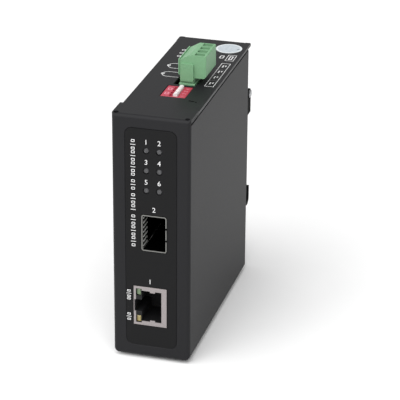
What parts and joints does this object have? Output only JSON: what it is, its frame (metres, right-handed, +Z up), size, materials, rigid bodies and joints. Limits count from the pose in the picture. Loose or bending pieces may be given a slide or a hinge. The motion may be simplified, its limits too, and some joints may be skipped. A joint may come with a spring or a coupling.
{
  "type": "fibre media converter",
  "caption": "slim steel box for a rail that joins an optical module port to a copper network jack, with status lamps, setting switches and a plug-in power terminal on top",
  "frame": {"origin": "middle of the bottom plate's footprint, on the surface it stands on", "axes": "+Z up, the ports face -Y, the rail clip faces +Y, the circuit board lies towards +X"},
  "size_m": [0.0306, 0.098, 0.112],
  "materials": {
    "case_paint": "matte powder coat",
    "overlay": "fine matte",
    "paper": "matte",
    "screw_steel": "zinc plated",
    "standoff_brass": "turned",
    "board": "solder mask",
    "black_plastic": "moulded",
    "lens": "clear moulding, unlit",
    "tinned_sheet": "bright tin",
    "contact_gold": "plated",
    "green_lens": "clear moulding",
    "yellow_lens": "clear moulding",
    "red_plastic": "moulded",
    "white_plastic": "moulded",
    "green_plastic": "moulded",
    "can_aluminium": "drawn can",
    "clip_black": "satin black",
    "jaw_steel": "plated spring steel"
  },
  "bodies": {
    "case": {"board_screws": "screw_steel", "board_standoffs": "standoff_brass", "capacitors": "can_aluminium", "case_screws": "screw_steel", "clip_pin": "screw_steel", "clip_plate": "clip_black", "clip_screws": "screw_steel", "converter_chip": "black_plastic", "crystal": "tinned_sheet", "dip_body": "red_plastic", "front_label": "overlay", "front_shell": "case_paint", "lamp_holder_1": "black_plastic", "lamp_holder_2": "black_plastic", "lamp_holder_3": "black_plastic", "line_transformer": "black_plastic", "main_board": "board", "power_inductor": "black_plastic", "rear_chassis": "case_paint", "rj45_body": "black_plastic", "rj45_contacts": "contact_gold", "rj45_lamp_green": "green_lens", "rj45_lamp_yellow": "yellow_lens", "rj45_shield": "tinned_sheet", "round_seal": "paper", "sfp_cage": "tinned_sheet", "sfp_socket": "black_plastic", "status_lamp_1": "lens", "status_lamp_2": "lens", "status_lamp_3": "lens", "status_lamp_4": "lens", "status_lamp_5": "lens", "status_lamp_6": "lens", "terminal_header": "green_plastic", "terminal_pins": "contact_gold"},
    "dip_slider_1": {"dip_slider_1": "white_plastic"},
    "dip_slider_2": {"dip_slider_2": "white_plastic"},
    "dip_slider_3": {"dip_slider_3": "white_plastic"},
    "dip_slider_4": {"dip_slider_4": "white_plastic"},
    "plug": {"terminal_plug": "green_plastic", "wire_clamps": "screw_steel"},
    "terminal_screw_1": {"terminal_screw_1": "screw_steel"},
    "terminal_screw_2": {"terminal_screw_2": "screw_steel"},
    "terminal_screw_3": {"terminal_screw_3": "screw_steel"},
    "terminal_screw_4": {"terminal_screw_4": "screw_steel"},
    "jaw": {"clip_jaw": "jaw_steel"}
  },
  "joints": [
    {"name": "dip_slide_1", "type": "slide", "parent": "case", "child": "dip_slider_1", "axis": [-1, 0, 0], "range_m": [0, 0.0016]},
    {"name": "dip_slide_2", "type": "slide", "parent": "case", "child": "dip_slider_2", "axis": [-1, 0, 0], "range_m": [0, 0.0016]},
    {"name": "dip_slide_3", "type": "slide", "parent": "case", "child": "dip_slider_3", "axis": [-1, 0, 0], "range_m": [0, 0.0016]},
    {"name": "dip_slide_4", "type": "slide", "parent": "case", "child": "dip_slider_4", "axis": [-1, 0, 0], "range_m": [0, 0.0016]},
    {"name": "plug_lift", "type": "slide", "parent": "case", "child": "plug", "axis": [0, 0, 1], "range_m": [0, 0.01]},
    {"name": "terminal_screw_turn_1", "type": "hinge", "parent": "plug", "child": "terminal_screw_1", "pos_m": [-0.00035, -0.0087, 0.1074], "axis": [1, 0, 0], "continuous": true},
    {"name": "terminal_screw_turn_2", "type": "hinge", "parent": "plug", "child": "terminal_screw_2", "pos_m": [-0.00035, -0.0049, 0.1074], "axis": [1, 0, 0], "continuous": true},
    {"name": "terminal_screw_turn_3", "type": "hinge", "parent": "plug", "child": "terminal_screw_3", "pos_m": [-0.00035, -0.00109, 0.1074], "axis": [1, 0, 0], "continuous": true},
    {"name": "terminal_screw_turn_4", "type": "hinge", "parent": "plug", "child": "terminal_screw_4", "pos_m": [-0.00035, 0.00272, 0.1074], "axis": [1, 0, 0], "continuous": true},
    {"name": "jaw_swing", "type": "hinge", "parent": "case", "child": "jaw", "pos_m": [0, 0.04693, 0.0763], "axis": [1, 0, 0], "range_deg": [0, 18], "stiffness_Nm_per_rad": 0.02}
  ]
}
